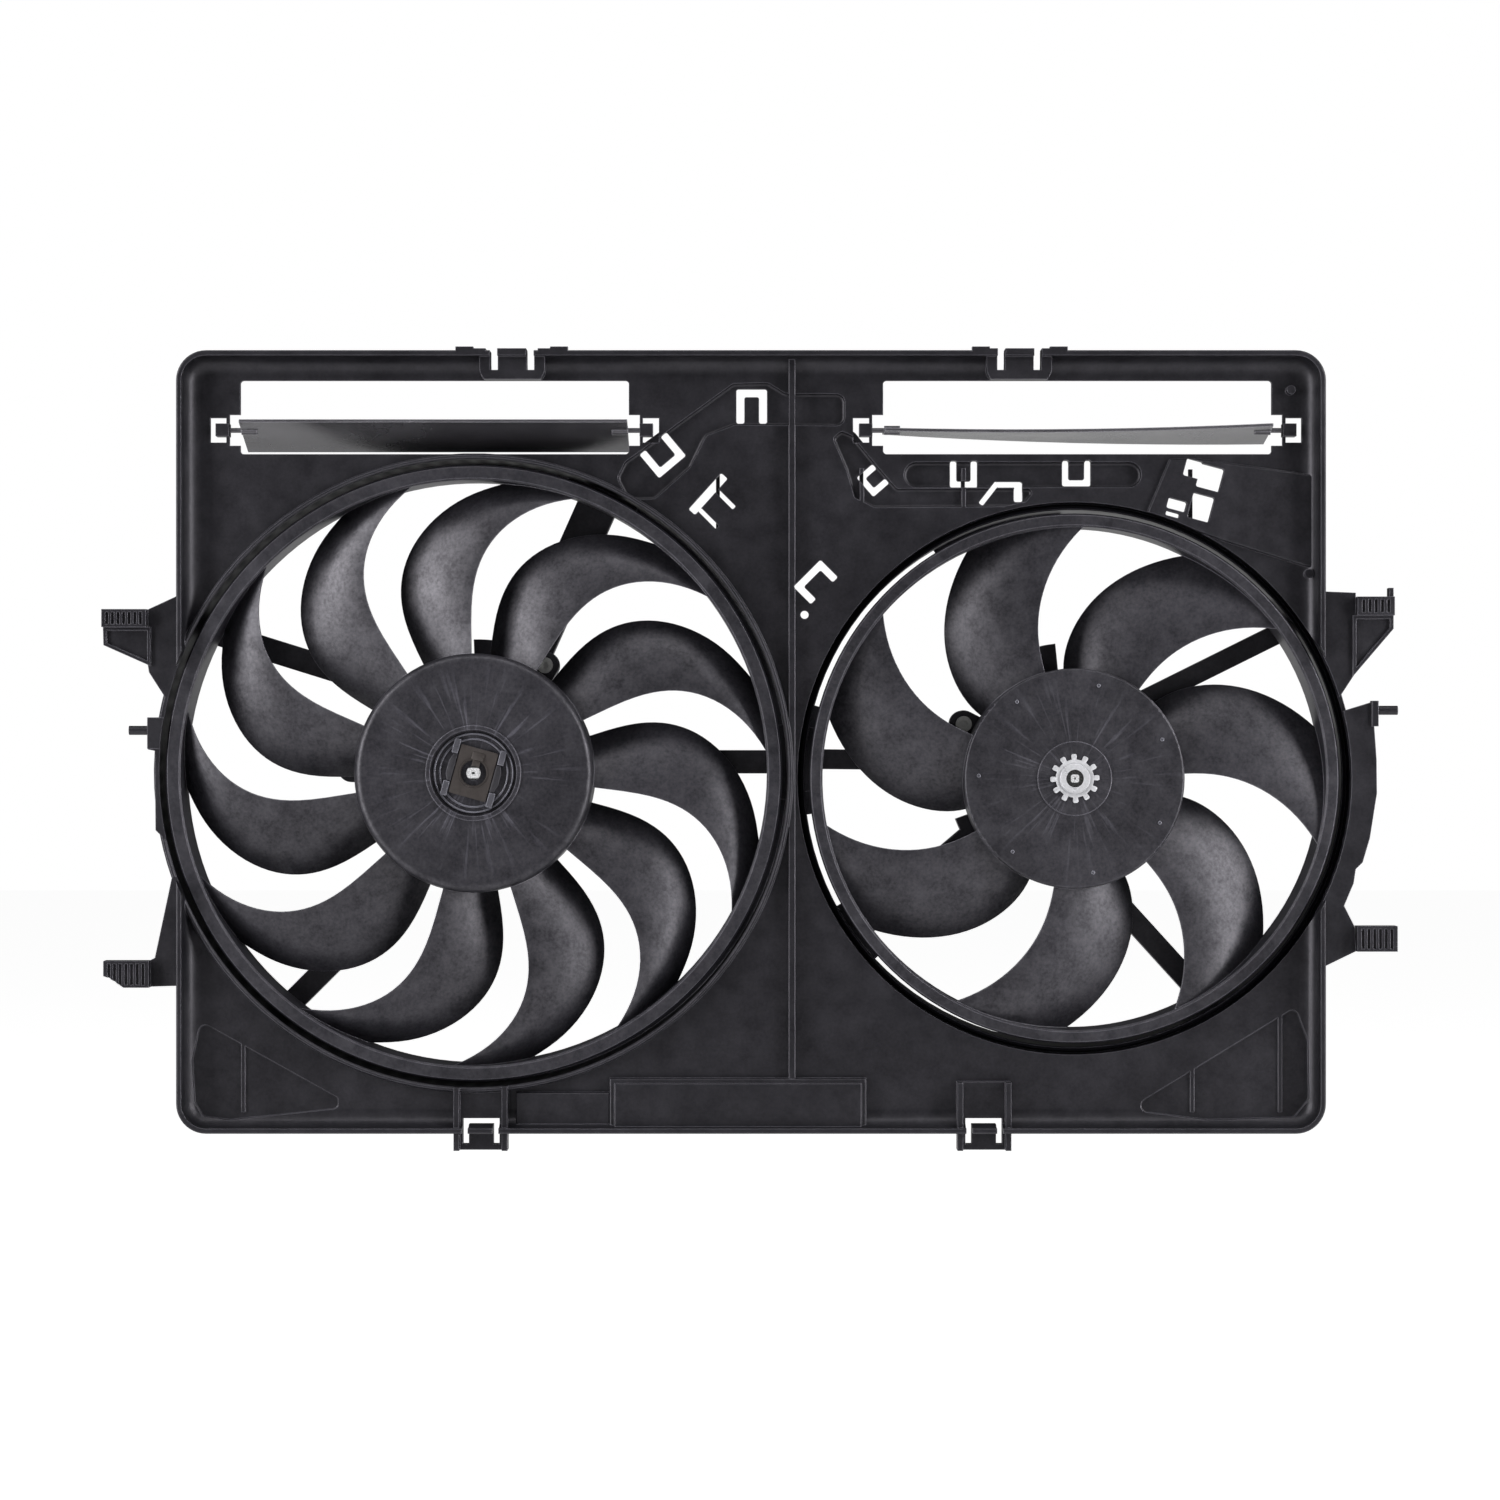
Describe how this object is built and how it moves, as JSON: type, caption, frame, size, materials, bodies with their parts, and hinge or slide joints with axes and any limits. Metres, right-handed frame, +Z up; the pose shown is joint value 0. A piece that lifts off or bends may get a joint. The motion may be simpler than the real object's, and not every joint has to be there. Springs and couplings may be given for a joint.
{
  "type": "radiator cooling fan",
  "caption": "Twin electric fan module with a rectangular plastic shroud, swept ring fans, strut mounted motors and two hinged ram air flaps",
  "frame": {"origin": "middle of the shroud body, on the front face of its rim, which seats on the radiator", "axes": "+X to the right as the radiator sees the module, +Y away from the radiator towards the engine, +Z up"},
  "size_m": [0.7345, 0.1187, 0.455],
  "materials": {
    "shroud_plastic": "satin black moulded plastic",
    "flap_plastic": "satin black moulded plastic",
    "main_fan_plastic": "satin black moulded plastic",
    "second_fan_plastic": "satin black moulded plastic",
    "clip_steel": "dull sprung steel",
    "washer_steel": "bright sprung steel",
    "can_steel": "dark painted drawn steel",
    "screw_steel": "zinc plated",
    "bearing_bronze": "oil filled sintered bronze",
    "magnet_ferrite": "ground ferrite",
    "shaft_steel": "ground steel",
    "core_steel": "stacked steel sheets",
    "winding_copper": "lacquered copper wire",
    "commutator_copper": "turned copper",
    "brush_carbon": "pressed carbon",
    "spring_steel": "spring strip",
    "card_resin": "pressed resin board",
    "end_plate_steel": "pressed zinc plated steel",
    "socket_plastic": "moulded plastic",
    "terminal_brass": "tinned brass"
  },
  "bodies": {
    "module": {"shroud": "shroud_plastic", "main_motor_can": "can_steel", "main_motor_screws": "screw_steel", "main_front_bearing": "bearing_bronze", "main_rear_bearing": "bearing_bronze", "main_magnets": "magnet_ferrite", "main_brushes": "brush_carbon", "main_brush_springs": "spring_steel", "main_brush_card": "card_resin", "main_end_plate": "end_plate_steel", "main_motor_socket": "socket_plastic", "main_motor_terminals": "terminal_brass", "second_motor_can": "can_steel", "second_motor_screws": "screw_steel", "second_front_bearing": "bearing_bronze", "second_rear_bearing": "bearing_bronze", "second_magnets": "magnet_ferrite", "second_brushes": "brush_carbon", "second_brush_springs": "spring_steel", "second_brush_card": "card_resin", "second_end_plate": "end_plate_steel", "second_motor_socket": "socket_plastic", "second_motor_terminals": "terminal_brass"},
    "main_fan": {"main_fan_wheel": "main_fan_plastic", "main_fan_clip": "clip_steel", "main_motor_shaft": "shaft_steel", "main_rotor_core": "core_steel", "main_rotor_windings": "winding_copper", "main_commutator": "commutator_copper"},
    "second_fan": {"second_fan_wheel": "second_fan_plastic", "second_fan_lock_washer": "washer_steel", "second_motor_shaft": "shaft_steel", "second_rotor_core": "core_steel", "second_rotor_windings": "winding_copper", "second_commutator": "commutator_copper"},
    "left_flap": {"left_flap": "flap_plastic"},
    "right_flap": {"right_flap": "flap_plastic"}
  },
  "joints": [
    {"name": "main_fan_spin", "type": "hinge", "parent": "module", "child": "main_fan", "pos_m": [-0.1574, 0, -0.0176], "axis": [0, 1, 0], "continuous": true},
    {"name": "second_fan_spin", "type": "hinge", "parent": "module", "child": "second_fan", "pos_m": [0.1836, 0, -0.0207], "axis": [0, 1, 0], "continuous": true},
    {"name": "left_flap_hinge", "type": "hinge", "parent": "module", "child": "left_flap", "pos_m": [-0.18, 0.01525, 0.1774], "axis": [1, 0, 0], "range_deg": [0, 110]},
    {"name": "right_flap_hinge", "type": "hinge", "parent": "module", "child": "right_flap", "pos_m": [0.1857, 0.01525, 0.1774], "axis": [1, 0, 0], "range_deg": [-16, 94]}
  ]
}
